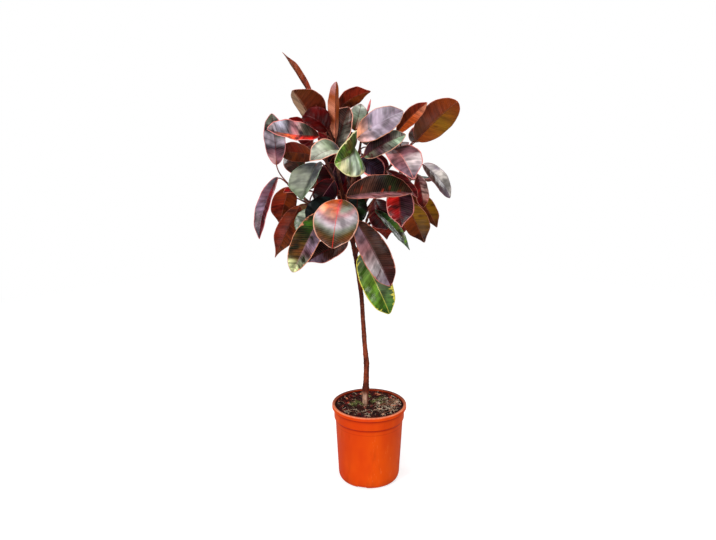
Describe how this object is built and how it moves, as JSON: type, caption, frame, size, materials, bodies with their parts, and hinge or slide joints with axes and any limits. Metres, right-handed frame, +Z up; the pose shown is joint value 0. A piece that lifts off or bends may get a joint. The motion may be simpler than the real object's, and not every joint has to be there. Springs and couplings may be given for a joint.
{
  "type": "potted rubber plant",
  "caption": "Live rubber plant grown as a small standard: bare trunk, round crown of broad folded variegated leaves, soil with bark chips, round nursery pot with a rolled rim.",
  "frame": {"origin": "on the ground under the middle of the pot's base", "axes": "+Z up along the pot's axis; the front of the plant faces -Y, +X is to its right as seen from the front"},
  "size_m": [0.5314, 0.4244, 1.1693],
  "materials": {
    "pot": "orange-red moulded plastic, satin, faintly scuffed",
    "soil": "damp dark potting soil with bark chips, fibres and a little moss",
    "bark": "reddish-brown bark, paler grey-pink wood at the foot",
    "leaf": "glossy burgundy and dark green upper side, pink and cream margin, rust-red underside",
    "sheath": "pink bud sheath, satin"
  },
  "bodies": {
    "root": {"pot": "pot", "soil": "soil", "trunk": "bark", "shoot_top": "leaf", "shoot_upper_left": "leaf", "shoot_left": "leaf", "shoot_top_centre": "leaf", "shoot_top_right": "leaf", "shoot_right": "leaf", "shoot_centre": "leaf", "shoot_low_front": "leaf", "shoot_low_right": "leaf", "shoot_low_right_back": "leaf", "shoot_low_left_back": "leaf", "shoot_back": "leaf", "shoot_back_low": "leaf", "sheath_top_centre": "sheath", "sheath_right": "sheath", "sheath_back": "sheath", "sheath_back_low": "sheath"}
  },
  "joints": []
}
